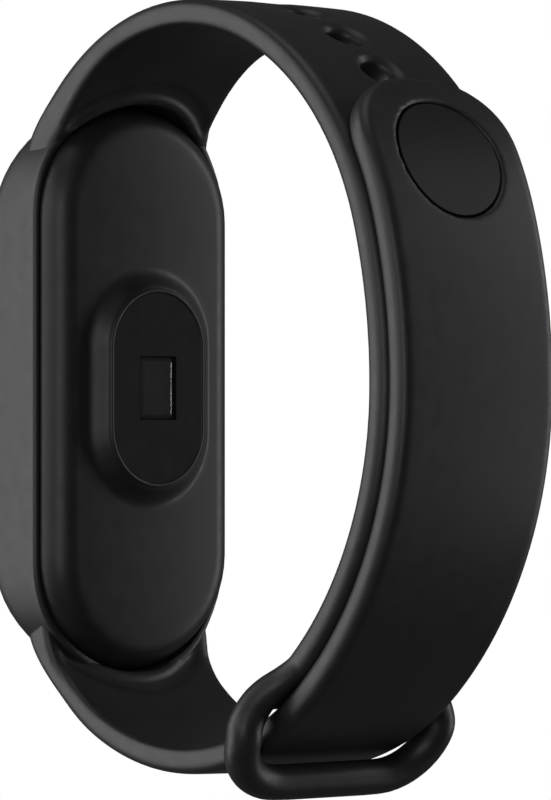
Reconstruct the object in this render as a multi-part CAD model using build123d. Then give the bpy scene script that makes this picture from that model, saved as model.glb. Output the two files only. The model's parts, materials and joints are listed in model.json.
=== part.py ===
from build123d import *
import math
import os

# Fitness tracker band, closed as it is worn.  Millimetres, +Z up.
# Origin: the middle of the wrist opening.  +X: from the tracker capsule to the clasp.
# +Y: across the strap's width, along the wrist.

# ---- driving sizes: strap ------------------------------------------------
STRAP_WIDTH = 15.6
STRAP_THICK = 2.05
LAYER_GAP = 0.25
EDGE_ROUND = 0.8
ARM_START = (8.06, -21.33)      # inner face of the hole arm where it meets the keeper loop
ARM_START_HEADING = 40.0        # degrees, direction of travel, anticlockwise seen from -Y
HOLE_ARM_ARCS = [(27.8, 49.6), (40.9, 17.7), (23.3, 51.7), (20.9, 67.2), (6.6, 40.6)]
PIN_ARM_ARCS = [(22.9, 64.5), (14.7, 40.1)]
BUTTON_HEADING = 115.8          # where on the clasp side the button sits
TIP_HEADING = 130.6             # end of the pin arm
HINGE_HEADING = 88.0            # where the pin arm's free end starts to peel
HINGE_SLIT = 0.06
HOLE_PITCH = 4.9
HOLES_TO_CAPSULE = 5            # free holes between the button and the capsule
HOLES_TO_LOOP = 8               # free holes under the pin arm
HOLE_RADIUS = 1.5
BUTTON_HOLE_RADIUS = 1.75
DISH_RADIUS = 2.0
DISH_DEPTH = 0.35

# ---- driving sizes: clasp ------------------------------------------------
BUTTON_RADIUS = 4.8
BUTTON_RECESS = 0.15
BUTTON_THICK = 0.7
NECK_RADIUS = 1.15
HEAD_RADIUS = 1.4
HEAD_THICK = 0.7
FLANGE_RADIUS = 3.2
FLANGE_THICK = 0.35
LOOP_TUBE = 1.5
LOOP_HALF_WIDTH = 9.9
LOOP_MIDDLE = (6.2, -26.4)
LOOP_BAR = (4.1, -30.8)
LOOP_CORNER = 4.8               # the bar's ends lie this far inside the loop's limbs
LOOP_SLACK = 0.15               # air all round the pin arm where it passes the loop

# ---- driving sizes: cradle and capsule -----------------------------------
CRADLE_HALF_WIDTH = 9.9
CRADLE_HALF_LENGTH = 24.7
CRADLE_FRONT_X = -26.3
CRADLE_BACK_X = -20.45
LIP_RISE = 0.9                  # the cradle's end lips stand this far above its rim
LIP_HALF_WIDTH = 7.4
LIP_FROM_Z = 20.2
ROOT_CUT_Z = 24.0               # the arms are separate pieces beyond this height
CAPSULE_HALF_WIDTH = 9.08
CAPSULE_HALF_LENGTH = 23.48
BACK_HALF_WIDTH = 8.85
BACK_HALF_LENGTH = 23.1
SHOULDER_X = -22.5              # where the capsule's wide front half ends
BACK_X = -18.1
BACK_ROUND = 1.6
CAPSULE_FRONT_X = -27.0
LENS_FRONT_X = -27.7
LENS_THICK = 1.1
LENS_HALF_WIDTH = 8.35
LENS_HALF_LENGTH = 22.75
LENS_GAP = 0.1
LEDGE_X = -26.45
CLEARANCE = 0.15
FRONT_FLAT_HALF = 12.3          # the front is flat to here and curves back beyond
FRONT_BEND_RADIUS = 18.0
INNER_HALF_WIDTH = 7.9
INNER_HALF_LENGTH = 22.2
BACK_WALL = 1.0
WINDOW_X = -16.9
WINDOW_HALF_WIDTH = 4.5
WINDOW_HALF_LENGTH = 7.75
BUMP_RIM = 0.35
BUMP_FOOT = 1.1
WINDOW_THICK = 1.0
THROAT_HALF_WIDTH = 3.7
THROAT_HALF_LENGTH = 6.8
APERTURE = (3.8, 5.2)

# ---- driving sizes: inside the capsule, as (low, high) spans along an axis --
TOUCH_THICK = 0.15
TOUCH_HALF = (7.2, 12.0)
DISPLAY_X = (-26.4, -25.6)
DISPLAY_HALF = (5.6, 12.6)
FLEX_HALF_WIDTH = 2.0
FLEX_THICK = 0.15
FLEX_END_Z = 17.2
TRAY_FLOOR_X = (-25.35, -24.9)
TRAY_END_X = -21.2
TRAY_HALF = (7.75, 18.5)
TRAY_WALL = 0.65
TAPE_THICK = 0.1
BATTERY_BACK_X = -21.6
BATTERY_HALF_WIDTH = 6.3
BATTERY_Z = (-6.5, 12.6)
BATTERY_ROUND = 0.6
PROTECTION_X = (-24.3, -22.4)
PROTECTION_HALF_WIDTH = 3.2
PROTECTION_Z = (-7.5, -6.7)
BATTERY_LEAD_Y = (-1.5, 1.5)
BATTERY_LEAD_RADIUS = 0.3
BOARD_X = (-21.1, -20.4)
BOARD_HALF = (7.4, 19.6)
CHIP_HEIGHT = 0.7
CHIP_HALF_WIDTH = 2.6
CHIP_Z = (8.6, 13.8)
SMALL_CHIP_HEIGHT = 0.8
SMALL_CHIPS = [                 # middle y, middle z, width, length
    (-3.2, -9.0, 3.0, 2.4),
    (2.6, -9.4, 2.4, 2.6),
    (-2.2, -13.4, 2.6, 2.6),
    (2.8, -13.2, 2.2, 1.8),
    (0.2, -16.6, 3.2, 1.4),
]
CAN_BACK_X = -19.25
CAN_SHEET = 0.15
CAN_HALF_WIDTH = 4.4
CAN_Z = (7.4, 15.2)
SENSOR_BOARD_X = (-20.0, -19.5)
SENSOR_BOARD_HALF = (3.3, 6.2)
CONNECTOR_HALF_WIDTH = 2.2
CONNECTOR_Z = (-5.0, -3.2)
LED_Z = (-1.75, 1.75)
LED_HALF = (0.9, 0.45)
LED_BACK_X = -18.7
PHOTODIODE_HALF = (1.2, 0.75)
PHOTODIODE_BACK_X = -18.9
BARRIER_HALF = (1.8, 2.5)
BARRIER_BACK_X = -18.0
BARRIER_ROOM = (1.3, 0.95)
BARRIER_LED_ROOM = (1.1, 0.55)
MOTOR_AXIS = (-23.1, -12.2)
MOTOR_RADIUS = 1.6
MOTOR_Y = (-1.0, 6.2)
SHAFT_RADIUS = 0.3
SHAFT_PLAY = 0.06
SHAFT_Y = (-5.9, 5.0)
WEIGHT_RADIUS = 1.4
WEIGHT_Y = (-5.7, -1.5)
WEIGHT_TOP = 0.55               # the half-round weight's flat lies this far above its axis
MOTOR_LEAD_Y = (3.0, 4.4)
MOTOR_LEAD_RADIUS = 0.25
MOTOR_LEAD_START = 1.65
ANTENNA_X = (-24.0, -21.4)
ANTENNA_HALF_WIDTH = 5.0
ANTENNA_Z = (18.7, 18.9)
CONTACT_X = -22.95
CONTACT_Y = (-3.0, 3.0)
CONTACT_RADIUS = 0.4
CONTACT_Z = (-22.95, -21.3)
SPRING_THICK = 0.15
SPRING_HALF_WIDTH = 0.6
SPRING_END_Z = -18.9

FAR = 60.0


# ---- helpers ---------------------------------------------------------------
def normal_at(heading):
    """Outward direction in the XZ plane for a direction of travel in degrees."""
    turn = math.radians(heading)
    return math.sin(turn), -math.cos(turn)


def arc_list(start, heading, arcs, direction):
    """Centres of a chain of tangent arcs: (centre x, centre z, radius, from heading, turn)."""
    rows = []
    x, z = start
    for radius, turn in arcs:
        nx, nz = normal_at(heading)
        cx, cz = x - radius * nx, z - radius * nz
        rows.append((cx, cz, radius, heading, direction * turn))
        heading += direction * turn
        nx, nz = normal_at(heading)
        x, z = cx + radius * nx, cz + radius * nz
    return rows


def trim(rows, heading_limit):
    """The same chain, ended at a heading."""
    kept = []
    for cx, cz, radius, heading, turn in rows:
        if heading + turn >= heading_limit:
            kept.append((cx, cz, radius, heading, heading_limit - heading))
            return kept
        kept.append((cx, cz, radius, heading, turn))
    return kept


def skip_to(rows, heading_start):
    """The same chain, begun at a heading."""
    kept = []
    for cx, cz, radius, heading, turn in rows:
        end = heading + turn
        if end <= heading_start:
            continue
        begin = max(heading, heading_start)
        kept.append((cx, cz, radius, begin, end - begin))
    return kept


def point_on(rows, heading, offset):
    """A point on the chain at a heading, moved outward by offset."""
    for cx, cz, radius, begin, turn in rows:
        if min(begin, begin + turn) - 1e-9 <= heading <= max(begin, begin + turn) + 1e-9:
            nx, nz = normal_at(heading)
            return cx + (radius + offset) * nx, cz + (radius + offset) * nz
    raise ValueError(heading)


def layer_face(rows, inner, outer):
    """A strap layer's side view: the band between two offsets of a chain of arcs."""
    edges = []
    for offset in (inner, outer):
        for cx, cz, radius, heading, turn in rows:
            arc = CenterArc((cx, cz), radius + offset, heading - 90, turn)
            edges.append(arc)
    for heading in (rows[0][3], rows[-1][3] + rows[-1][4]):
        row = rows[0] if heading == rows[0][3] else rows[-1]
        edges.append(Line(point_on([row], heading, inner), point_on([row], heading, outer)))
    return make_face(edges)


def side_plate(face, half_width):
    """Extrude a side view (x, z) to both sides of the middle plane."""
    plane = Plane(origin=(0, 0, 0), x_dir=(1, 0, 0), z_dir=(0, -1, 0))
    return extrude(plane * face, half_width, both=True)


def strap_layer(rows, inner, outer, half_width):
    """A strap layer with its long outer edges rounded."""
    layer = side_plate(layer_face(rows, inner, outer), half_width)
    long_edges = [e for e in layer.edges() if e.geom_type == GeomType.CIRCLE]
    return fillet(long_edges, EDGE_ROUND)


def pill(half_width, half_length, x_from, x_to):
    """A stadium lying across Y and along Z, extruded along X."""
    plane = Plane(origin=(x_from, 0, 0), x_dir=(0, 1, 0), z_dir=(1, 0, 0))
    outline = SlotOverall(2 * half_length, 2 * half_width, rotation=90)
    return extrude(plane * outline, x_to - x_from)


def box(x, y, z):
    """A box from its low and high values on each axis."""
    size = (x[1] - x[0], y[1] - y[0], z[1] - z[0])
    centre = ((x[0] + x[1]) / 2, (y[0] + y[1]) / 2, (z[0] + z[1]) / 2)
    return Pos(*centre) * Box(*size)


def rod(radius, x, z, y_from, y_to):
    """A cylinder along Y."""
    plane = Plane(origin=(x, y_from, z), x_dir=(1, 0, 0), z_dir=(0, 1, 0))
    return extrude(plane * Circle(radius), y_to - y_from)


def behind_front(front_x):
    """Everything behind the capsule's bent front surface that has its flat at front_x."""
    half = FRONT_FLAT_HALF
    reach = math.degrees(math.asin(15.0 / FRONT_BEND_RADIUS))
    drop = FRONT_BEND_RADIUS * (1 - math.cos(math.radians(reach)))
    top = half + 15.0
    flat = Line((front_x, -half), (front_x, half))
    upper = CenterArc((front_x + FRONT_BEND_RADIUS, half), FRONT_BEND_RADIUS, 180, -reach)
    lower = CenterArc((front_x + FRONT_BEND_RADIUS, -half), FRONT_BEND_RADIUS, 180, reach)
    rear = Polyline(
        (front_x + drop, top),
        (FAR, top),
        (FAR, -top),
        (front_x + drop, -top),
    )
    return side_plate(make_face([flat, upper, lower, rear]), 15.0)


def only_solid(shape):
    """The largest solid of a result."""
    return max(shape.solids(), key=lambda s: s.volume)


# ---- strap: paths ----------------------------------------------------------
HOLE_PATH = arc_list(ARM_START, ARM_START_HEADING, HOLE_ARM_ARCS, 1)
OUTER_INNER = STRAP_THICK + LAYER_GAP
PIN_OUTER = OUTER_INNER + STRAP_THICK
START_NORMAL = normal_at(ARM_START_HEADING)
PIN_START = (
    ARM_START[0] + OUTER_INNER * START_NORMAL[0],
    ARM_START[1] + OUTER_INNER * START_NORMAL[1],
)
LOWER_PATH = arc_list(PIN_START, ARM_START_HEADING, PIN_ARM_ARCS, -1)


def cradle_blank():
    """The cradle's outer body, and the roots where the two arms grow out of it."""
    body = pill(CRADLE_HALF_WIDTH, CRADLE_HALF_LENGTH, CRADLE_FRONT_X, CRADLE_BACK_X)
    body = fillet(body.edges().filter_by(GeomType.CIRCLE), EDGE_ROUND / 2)
    body = body & behind_front(CRADLE_FRONT_X)
    lip_back_x = CRADLE_BACK_X + LIP_RISE
    end_lips = pill(CRADLE_HALF_WIDTH, CRADLE_HALF_LENGTH, SHOULDER_X, lip_back_x)
    end_lips = end_lips & box((-FAR, FAR), (-LIP_HALF_WIDTH, LIP_HALF_WIDTH), (-FAR, FAR))
    end_lips = end_lips - box((-FAR, FAR), (-FAR, FAR), (-LIP_FROM_Z, LIP_FROM_Z))
    return body + end_lips


def capsule_space():
    """The room the capsule takes in the cradle: a wide front pocket and a narrower back opening."""
    front = pill(
        CAPSULE_HALF_WIDTH + CLEARANCE,
        CAPSULE_HALF_LENGTH + CLEARANCE,
        -FAR,
        SHOULDER_X + CLEARANCE,
    )
    back = pill(BACK_HALF_WIDTH + CLEARANCE, BACK_HALF_LENGTH + CLEARANCE, -FAR, FAR)
    return front + back


def root_region():
    """The slab of space that belongs to the cradle piece."""
    return box((-FAR, 0), (-FAR, FAR), (-ROOT_CUT_Z, ROOT_CUT_Z))


def full_hole_arm():
    """The inner strap layer, from the keeper loop over the top to the cradle."""
    return strap_layer(HOLE_PATH, 0, STRAP_THICK, STRAP_WIDTH / 2)


def pin_rows():
    """The pin arm's path: from the cradle round the bottom, then up outside the hole arm."""
    rows = []
    for cx, cz, radius, heading, turn in reversed(LOWER_PATH):
        rows.append((cx, cz, radius, heading + turn, -turn))
    upper = skip_to(trim(HOLE_PATH, HINGE_HEADING), ARM_START_HEADING)
    for cx, cz, radius, heading, turn in upper:
        rows.append((cx, cz, radius + OUTER_INNER, heading, turn))
    return rows


def full_lower_arm():
    """The pin arm from the cradle to the peel line."""
    return strap_layer(pin_rows(), 0, STRAP_THICK, STRAP_WIDTH / 2)


def strap_cradle():
    """The cradle with the first stretch of both arms."""
    arms = (full_hole_arm() + full_lower_arm()) & root_region()
    return only_solid(cradle_blank() + arms - capsule_space())


def hole_cutter(heading, radius):
    """A round hole through the inner layer, dished at both faces."""
    inner = point_on(HOLE_PATH, heading, -0.6)
    nx, nz = normal_at(heading)
    plane = Plane(origin=(inner[0], 0, inner[1]), x_dir=(0, 1, 0), z_dir=(nx, 0, nz))
    cutter = extrude(plane * Circle(radius), STRAP_THICK + 1.2)
    top = point_on(HOLE_PATH, heading, STRAP_THICK - DISH_DEPTH)
    dish_plane = Plane(origin=(top[0], 0, top[1]), x_dir=(0, 1, 0), z_dir=(nx, 0, nz))
    grow = DISH_RADIUS - radius
    dish = dish_plane * Pos(0, 0, 0.5) * Cone(radius, DISH_RADIUS + grow, 1.0)
    return cutter + dish


def hole_headings():
    """Headings of every hole, found by stepping the pitch along the layer's middle."""
    found = []
    for direction, count in ((1, HOLES_TO_CAPSULE), (-1, HOLES_TO_LOOP)):
        heading = BUTTON_HEADING
        for _ in range(count):
            left = HOLE_PITCH
            while left > 1e-6:
                step = min(left, 0.05)
                for _cx, _cz, radius, begin, turn in HOLE_PATH:
                    if begin <= heading <= begin + turn:
                        reach = radius + STRAP_THICK / 2
                        break
                heading += direction * math.degrees(step / reach)
                left -= step
            found.append(heading)
    return found


def strap_hole_arm():
    """The inner layer beyond the cradle, with its row of holes."""
    arm = full_hole_arm() - root_region() - cradle_blank()
    arm = arm - hole_cutter(BUTTON_HEADING, BUTTON_HOLE_RADIUS)
    for heading in hole_headings():
        arm = arm - hole_cutter(heading, HOLE_RADIUS)
    return only_solid(arm)


def strap_keeper_loop():
    """The round-section loop at the end of the hole arm that the pin arm passes through."""
    inner_x, inner_z = point_on(HOLE_PATH, ARM_START_HEADING, LOOP_TUBE / 2 + 0.3)
    side = LOOP_HALF_WIDTH
    root_y = STRAP_WIDTH / 2 - LOOP_TUBE
    half = [
        (inner_x, -root_y, inner_z),
        (LOOP_MIDDLE[0], -side, LOOP_MIDDLE[1]),
        (LOOP_BAR[0], LOOP_CORNER - side, LOOP_BAR[1]),
    ]
    far = [(x, -y, z) for x, y, z in reversed(half)]
    bar_corner = half[2]
    along_strap = (
        -math.cos(math.radians(ARM_START_HEADING)),
        -0.8,
        -math.sin(math.radians(ARM_START_HEADING)),
    )
    near_limb = Spline(half, tangents=[along_strap, (0, 1, 0)])
    bar = Line(bar_corner, far[0])
    back_tangent = (-along_strap[0], along_strap[1], -along_strap[2])
    far_limb = Spline(far, tangents=[(0, 1, 0), back_tangent])
    route = Wire([near_limb, bar, far_limb])
    start = Plane(origin=half[0], z_dir=along_strap)
    tube = sweep(start * Circle(LOOP_TUBE), path=route, transition=Transition.ROUND)
    root_bar = rod(LOOP_TUBE, inner_x, inner_z, -root_y - 0.6, root_y + 0.6)
    passage = layer_face(pin_rows(), -LOOP_SLACK, STRAP_THICK + LOOP_SLACK)
    passage = side_plate(passage, STRAP_WIDTH / 2 + LOOP_SLACK)
    return only_solid(tube + root_bar - full_hole_arm() - passage)


def strap_pin_arm():
    """The outer layer from below the cradle, through the loop, up to the peel line."""
    return only_solid(full_lower_arm() - root_region() - cradle_blank())


def tip_rows():
    """The path of the free end, begun just past the peel line."""
    slit = math.degrees(HINGE_SLIT / (HOLE_PATH[0][2] + PIN_OUTER))
    return skip_to(trim(HOLE_PATH, TIP_HEADING), HINGE_HEADING + slit)


def tip_shape():
    """The free end's outline seen square on: a strip whose end is nearly half round."""
    x, z = point_on(HOLE_PATH, BUTTON_HEADING, PIN_OUTER)
    nx, nz = normal_at(BUTTON_HEADING)
    along = (-nz, 0, nx)
    plane = Plane(origin=(x, 0, z), x_dir=along, z_dir=(nx, 0, nz))
    outline = RectangleRounded(80, STRAP_WIDTH, STRAP_WIDTH / 2 - 0.6)
    reach = 7.2
    return extrude(plane * Pos(reach - 40, 0) * outline, 15, both=True)


def strap_tip():
    """The pin arm's free end, which carries the button and peels away from the hole arm."""
    tip = strap_layer(tip_rows(), OUTER_INNER, PIN_OUTER, STRAP_WIDTH / 2)
    tip = tip & tip_shape()
    recess = button_prism(BUTTON_RADIUS + BUTTON_RECESS, -BUTTON_THICK, 2.0)
    stud_hole = button_prism(NECK_RADIUS, -8.0, 2.0)
    flange_seat = button_prism(FLANGE_RADIUS, -BUTTON_THICK - FLANGE_THICK, 0.0)
    return only_solid(tip - recess - flange_seat - stud_hole)


# ---- clasp -----------------------------------------------------------------
def button_prism(radius, low, high):
    """A cylinder on the button's axis; heights are measured from the outer face of the strap."""
    x, z = point_on(HOLE_PATH, BUTTON_HEADING, PIN_OUTER + low)
    nx, nz = normal_at(BUTTON_HEADING)
    plane = Plane(origin=(x, 0, z), x_dir=(0, 1, 0), z_dir=(nx, 0, nz))
    return extrude(plane * Circle(radius), high - low)


def button_cap():
    """The round button, flush with the strap and curved like it."""
    disc = button_prism(BUTTON_RADIUS, -BUTTON_THICK, 1.0)
    cx, cz, radius, _begin, _turn = HOLE_PATH[2]
    dome = rod(radius + PIN_OUTER, cx, cz, -FAR, FAR)
    disc = disc & dome
    return only_solid(disc)


def button_stud():
    """The pin under the button: flange in the strap, neck, and a rounded head."""
    flange = button_prism(FLANGE_RADIUS, -BUTTON_THICK - FLANGE_THICK, -BUTTON_THICK)
    head_low = -(PIN_OUTER - 0.35)
    neck = button_prism(NECK_RADIUS, head_low, -BUTTON_THICK - FLANGE_THICK)
    head = button_prism(HEAD_RADIUS, head_low, head_low + HEAD_THICK)
    head = fillet(head.edges(), 0.2)
    return only_solid(flange + neck + head)


# ---- capsule shells --------------------------------------------------------
def bump():
    """The raised plateau round the sensor window, with a sloping foot."""
    foot_x = BACK_X - BACK_WALL / 2
    foot = Plane(origin=(foot_x, 0, 0), x_dir=(0, 1, 0), z_dir=(1, 0, 0))
    low_size = (2 * (WINDOW_HALF_LENGTH + BUMP_FOOT), 2 * (WINDOW_HALF_WIDTH + BUMP_FOOT))
    high_size = (2 * (WINDOW_HALF_LENGTH + BUMP_RIM), 2 * (WINDOW_HALF_WIDTH + BUMP_RIM))
    low = foot * SlotOverall(*low_size, rotation=90)
    high = foot.offset(WINDOW_X - foot_x) * SlotOverall(*high_size, rotation=90)
    return loft([low.face(), high.face()])


def housing():
    """The capsule's moulded body: open at the front, closed at the back round the window."""
    front = pill(CAPSULE_HALF_WIDTH, CAPSULE_HALF_LENGTH, -FAR, SHOULDER_X)
    back = pill(BACK_HALF_WIDTH, BACK_HALF_LENGTH, SHOULDER_X, BACK_X)
    rear_edges = back.edges().group_by(Axis.X)[-1]
    back = fillet(rear_edges, BACK_ROUND)
    shell = (front & behind_front(CAPSULE_FRONT_X)) + back + bump()
    pocket = pill(LENS_HALF_WIDTH + LENS_GAP, LENS_HALF_LENGTH + LENS_GAP, -FAR, FAR)
    pocket = pocket - behind_front(LEDGE_X)
    inside = pill(INNER_HALF_WIDTH, INNER_HALF_LENGTH, -FAR, BACK_X - BACK_WALL)
    seat_x = WINDOW_X - WINDOW_THICK
    window_seat = pill(WINDOW_HALF_WIDTH, WINDOW_HALF_LENGTH, seat_x, WINDOW_X + 1)
    throat = pill(THROAT_HALF_WIDTH, THROAT_HALF_LENGTH, BACK_X - BACK_WALL - 0.1, WINDOW_X)
    shell = shell - pocket - inside - window_seat - throat
    for pin in contact_axes(CONTACT_RADIUS, -FAR, -INNER_HALF_LENGTH + 1):
        shell = shell - pin
    return only_solid(shell)


def front_layer(half_width, half_length, front_x, back_x):
    """A layer that follows the capsule's bent front."""
    plate = pill(half_width, half_length, -FAR, 0) & behind_front(front_x)
    return only_solid(plate - behind_front(back_x))


def front_lens():
    """The cover glass."""
    return front_layer(LENS_HALF_WIDTH, LENS_HALF_LENGTH, LENS_FRONT_X, LENS_BACK_X)


def lens_gasket():
    """The seal ring between the cover glass and the housing's ledge."""
    ring = front_layer(LENS_HALF_WIDTH, LENS_HALF_LENGTH, LENS_BACK_X, LEDGE_X)
    return only_solid(ring - pill(INNER_HALF_WIDTH, INNER_HALF_LENGTH, -FAR, FAR))


def sensor_window():
    """The dark window over the optical sensor, with a rectangular cut-out."""
    plate = pill(WINDOW_HALF_WIDTH, WINDOW_HALF_LENGTH, WINDOW_X - WINDOW_THICK, WINDOW_X)
    return plate - block((-FAR, 0), APERTURE[0] / 2, APERTURE[1] / 2)


def aperture_lens():
    """The clear lens in the window's cut-out."""
    return block((WINDOW_X - WINDOW_THICK, WINDOW_X - 0.1), APERTURE[0] / 2, APERTURE[1] / 2)


# ---- inside the capsule ----------------------------------------------------
LENS_BACK_X = LENS_FRONT_X + LENS_THICK
BATTERY_FRONT_X = TRAY_FLOOR_X[1] + TAPE_THICK


def block(x, half_width, half_length, z=0.0):
    """A box between two depths, centred across the strap and at a height."""
    return box(x, (-half_width, half_width), (z - half_length, z + half_length))


def leads(places, x_from, x_to, radius):
    """Straight leads along X at (y, z) places."""
    found = []
    for y, z in places:
        plane = Plane(origin=(x_from, y, z), z_dir=(1, 0, 0))
        found.append(extrude(plane * Circle(radius), x_to - x_from))
    return Compound(children=found)


def touch_film():
    front_x = LENS_BACK_X + 0.02
    return block((front_x, front_x + TOUCH_THICK), *TOUCH_HALF)


def display_panel():
    return block(DISPLAY_X, *DISPLAY_HALF)


def display_flex():
    """The display's flat cable, bent back to the main board."""
    back_x = DISPLAY_X[1] - 0.1
    front_x = back_x - FLEX_THICK
    width = (-FLEX_HALF_WIDTH, FLEX_HALF_WIDTH)
    reach = box((front_x, back_x), width, (DISPLAY_HALF[1] + 0.05, FLEX_END_Z))
    drop = box((front_x, BOARD_X[0]), width, (FLEX_END_Z - FLEX_THICK, FLEX_END_Z))
    return reach + drop


def inner_frame():
    """The tray that holds the battery and the motor behind the display."""
    half_width, half_length = TRAY_HALF
    body = pill(half_width, half_length, TRAY_FLOOR_X[0], TRAY_END_X)
    room = pill(half_width - TRAY_WALL, half_length - TRAY_WALL, TRAY_FLOOR_X[1], FAR)
    slot_z = (FLEX_END_Z - 0.4, FLEX_END_Z + 0.3)
    slot_y = (-FLEX_HALF_WIDTH - 0.4, FLEX_HALF_WIDTH + 0.4)
    slot = box((-FAR, TRAY_FLOOR_X[1] + 0.1), slot_y, slot_z)
    return only_solid(body - room - slot)


def battery_cell():
    width = (-BATTERY_HALF_WIDTH, BATTERY_HALF_WIDTH)
    cell = box((BATTERY_FRONT_X, BATTERY_BACK_X), width, BATTERY_Z)
    return fillet(cell.edges().filter_by(Axis.Z), BATTERY_ROUND)


def battery_tape():
    margin = 1.4
    width = (margin - BATTERY_HALF_WIDTH, BATTERY_HALF_WIDTH - margin)
    length = (BATTERY_Z[0] + margin, BATTERY_Z[1] - margin)
    return box((TRAY_FLOOR_X[1], BATTERY_FRONT_X), width, length)


def protection_board():
    width = (-PROTECTION_HALF_WIDTH, PROTECTION_HALF_WIDTH)
    return box(PROTECTION_X, width, PROTECTION_Z)


def battery_leads():
    """Two short leads from the protection board to the main board."""
    middle_z = sum(PROTECTION_Z) / 2
    places = [(y, middle_z) for y in BATTERY_LEAD_Y]
    return leads(places, PROTECTION_X[1], BOARD_X[0], BATTERY_LEAD_RADIUS)


def main_board():
    return pill(*BOARD_HALF, *BOARD_X)


def main_chip():
    width = (-CHIP_HALF_WIDTH, CHIP_HALF_WIDTH)
    return box((BOARD_X[1], BOARD_X[1] + CHIP_HEIGHT), width, CHIP_Z)


def small_chips():
    """The smaller packages on the back of the board: memory, motion sensor, charger, filters."""
    height = (BOARD_X[1], BOARD_X[1] + SMALL_CHIP_HEIGHT)
    chips = []
    for y, z, wide, long in SMALL_CHIPS:
        chips.append(box(height, (y - wide / 2, y + wide / 2), (z - long / 2, z + long / 2)))
    return Compound(children=chips)


def shield_can():
    """The pressed metal can over the main chip."""
    low_z, high_z = CAN_Z
    outside = box((BOARD_X[1], CAN_BACK_X), (-CAN_HALF_WIDTH, CAN_HALF_WIDTH), CAN_Z)
    inner_half = CAN_HALF_WIDTH - CAN_SHEET
    inner_z = (low_z + CAN_SHEET, high_z - CAN_SHEET)
    return outside - box((-FAR, CAN_BACK_X - CAN_SHEET), (-inner_half, inner_half), inner_z)


def sensor_board():
    return pill(*SENSOR_BOARD_HALF, *SENSOR_BOARD_X)


def sensor_connector():
    width = (-CONNECTOR_HALF_WIDTH, CONNECTOR_HALF_WIDTH)
    return box((BOARD_X[1], SENSOR_BOARD_X[0]), width, CONNECTOR_Z)


def leds():
    """The two green light sources."""
    height = (SENSOR_BOARD_X[1], LED_BACK_X)
    return Compound(children=[block(height, *LED_HALF, z) for z in LED_Z])


def photodiode():
    return block((SENSOR_BOARD_X[1], PHOTODIODE_BACK_X), *PHOTODIODE_HALF)


def light_barrier():
    """The opaque frame that keeps the light sources apart from the light receiver."""
    body = block((SENSOR_BOARD_X[1], BARRIER_BACK_X), *BARRIER_HALF)
    body = body - block((-FAR, 0), *BARRIER_ROOM)
    for z in LED_Z:
        body = body - block((-FAR, 0), *BARRIER_LED_ROOM, z)
    return body


def motor_can():
    x, z = MOTOR_AXIS
    return rod(MOTOR_RADIUS, x, z, *MOTOR_Y) - rod(SHAFT_RADIUS + SHAFT_PLAY, x, z, -FAR, MOTOR_Y[1] - 1.0)


def motor_shaft():
    x, z = MOTOR_AXIS
    return rod(SHAFT_RADIUS, x, z, *SHAFT_Y)


def motor_weight():
    """The half-round weight that makes the motor shake."""
    x, z = MOTOR_AXIS
    weight = rod(WEIGHT_RADIUS, x, z, *WEIGHT_Y)
    weight = weight - box((-FAR, FAR), (-FAR, FAR), (z + WEIGHT_TOP, FAR))
    return weight - rod(SHAFT_RADIUS, x, z, -FAR, FAR)


def motor_leads():
    x, z = MOTOR_AXIS
    places = [(y, z) for y in MOTOR_LEAD_Y]
    return leads(places, x + MOTOR_LEAD_START, BOARD_X[0], MOTOR_LEAD_RADIUS)


def antenna_strip():
    return box(ANTENNA_X, (-ANTENNA_HALF_WIDTH, ANTENNA_HALF_WIDTH), ANTENNA_Z)


def contact_axes(radius, z_from, z_to):
    """Cylinders along Z at the two charging contacts."""
    pins = []
    for y in CONTACT_Y:
        plane = Plane(origin=(CONTACT_X, y, z_from), z_dir=(0, 0, 1))
        pins.append(extrude(plane * Circle(radius), z_to - z_from))
    return pins


def charging_pins():
    return Compound(children=contact_axes(CONTACT_RADIUS, *CONTACT_Z))


def contact_springs():
    """Bent strips from the charging pins to the main board."""
    pin_end = CONTACT_Z[1]
    springs = []
    for y in CONTACT_Y:
        width = (y - SPRING_HALF_WIDTH, y + SPRING_HALF_WIDTH)
        front_x = CONTACT_X - CONTACT_RADIUS - 0.05
        upright = box((front_x, BOARD_X[0]), width, (pin_end, pin_end + SPRING_THICK))
        foot = box((BOARD_X[0] - SPRING_THICK, BOARD_X[0]), width, (pin_end, SPRING_END_Z))
        springs.append(upright + foot)
    return Compound(children=springs)


PARTS = [
    strap_cradle, strap_hole_arm, strap_keeper_loop, strap_pin_arm, strap_tip,
    button_cap, button_stud,
    housing, front_lens, lens_gasket, sensor_window, aperture_lens,
    touch_film, display_panel, display_flex, inner_frame,
    battery_cell, battery_tape, protection_board, battery_leads,
    main_board, main_chip, small_chips, shield_can,
    sensor_board, sensor_connector, leds, photodiode, light_barrier,
    motor_can, motor_shaft, motor_weight, motor_leads,
    antenna_strip, charging_pins, contact_springs,
]

os.makedirs("parts", exist_ok=True)
for make in PARTS:
    export_step(make(), "parts/" + make.__name__ + ".step")
    print(make.__name__)
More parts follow.
